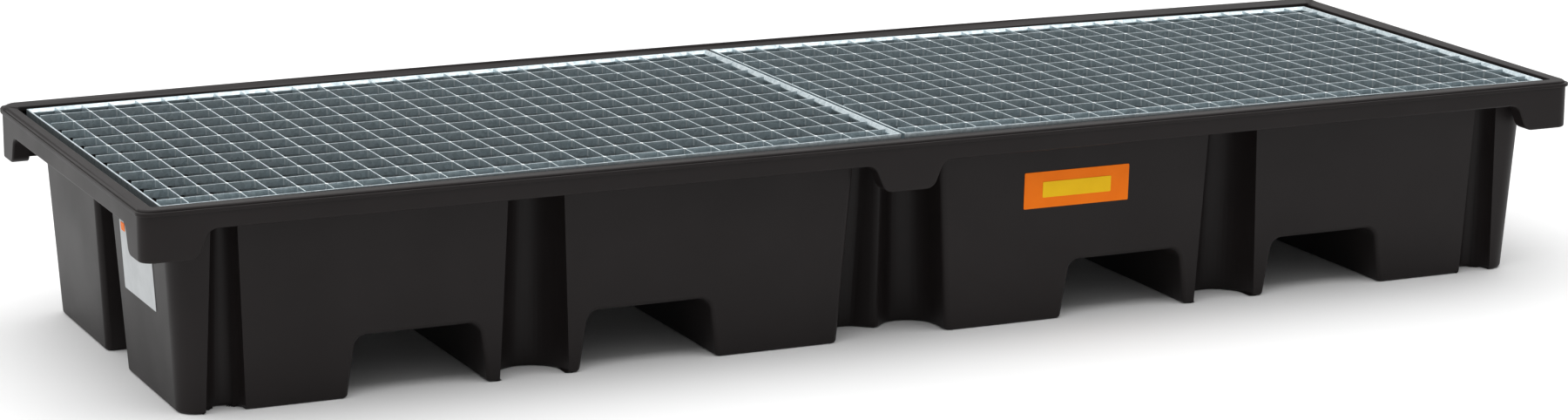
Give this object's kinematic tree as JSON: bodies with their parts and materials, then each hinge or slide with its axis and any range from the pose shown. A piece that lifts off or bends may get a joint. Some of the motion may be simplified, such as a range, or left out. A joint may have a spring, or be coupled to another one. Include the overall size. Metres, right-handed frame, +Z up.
{
  "type": "spill containment pallet",
  "caption": "Long black moulded sump tub on feet with fork pockets, under two lift-out galvanised steel gratings that hold drums above the sump.",
  "frame": {"origin": "middle of the footprint, on the floor that the feet stand on", "axes": "+X along the length, +Z up, the labelled long side faces -Y"},
  "size_m": [2.478, 0.83, 0.337],
  "materials": {
    "black_polyethylene": "satin rotationally moulded skin, faintly mottled",
    "galvanised_steel": "hot-dip galvanised, satin with a faint spangle",
    "label_orange": "printed film, satin",
    "label_yellow": "printed film, satin",
    "label_white": "printed film, satin"
  },
  "bodies": {
    "pallet": {"tub": "black_polyethylene", "front_label": "label_orange", "front_label_band": "label_yellow", "end_label": "label_white", "end_label_patch": "label_orange"},
    "grating_left": {"grating_left_bearing_bars": "galvanised_steel", "grating_left_back_edge_bar": "galvanised_steel", "grating_left_outer_edge_bar": "galvanised_steel", "grating_left_seam_edge_bar": "galvanised_steel", "grating_left_cross_bar_01": "galvanised_steel", "grating_left_cross_bar_02": "galvanised_steel", "grating_left_cross_bar_03": "galvanised_steel", "grating_left_cross_bar_04": "galvanised_steel", "grating_left_cross_bar_05": "galvanised_steel", "grating_left_cross_bar_06": "galvanised_steel", "grating_left_cross_bar_07": "galvanised_steel", "grating_left_cross_bar_08": "galvanised_steel", "grating_left_cross_bar_09": "galvanised_steel", "grating_left_cross_bar_10": "galvanised_steel", "grating_left_cross_bar_11": "galvanised_steel"},
    "grating_right": {"grating_right_bearing_bars": "galvanised_steel", "grating_right_back_edge_bar": "galvanised_steel", "grating_right_outer_edge_bar": "galvanised_steel", "grating_right_seam_edge_bar": "galvanised_steel", "grating_right_cross_bar_01": "galvanised_steel", "grating_right_cross_bar_02": "galvanised_steel", "grating_right_cross_bar_03": "galvanised_steel", "grating_right_cross_bar_04": "galvanised_steel", "grating_right_cross_bar_05": "galvanised_steel", "grating_right_cross_bar_06": "galvanised_steel", "grating_right_cross_bar_07": "galvanised_steel", "grating_right_cross_bar_08": "galvanised_steel", "grating_right_cross_bar_09": "galvanised_steel", "grating_right_cross_bar_10": "galvanised_steel", "grating_right_cross_bar_11": "galvanised_steel"}
  },
  "joints": [
    {"name": "grating_left_lift", "type": "slide", "parent": "pallet", "child": "grating_left", "axis": [0, 0, 1], "range_m": [0, 0.25]},
    {"name": "grating_right_lift", "type": "slide", "parent": "pallet", "child": "grating_right", "axis": [0, 0, 1], "range_m": [0, 0.25]}
  ]
}
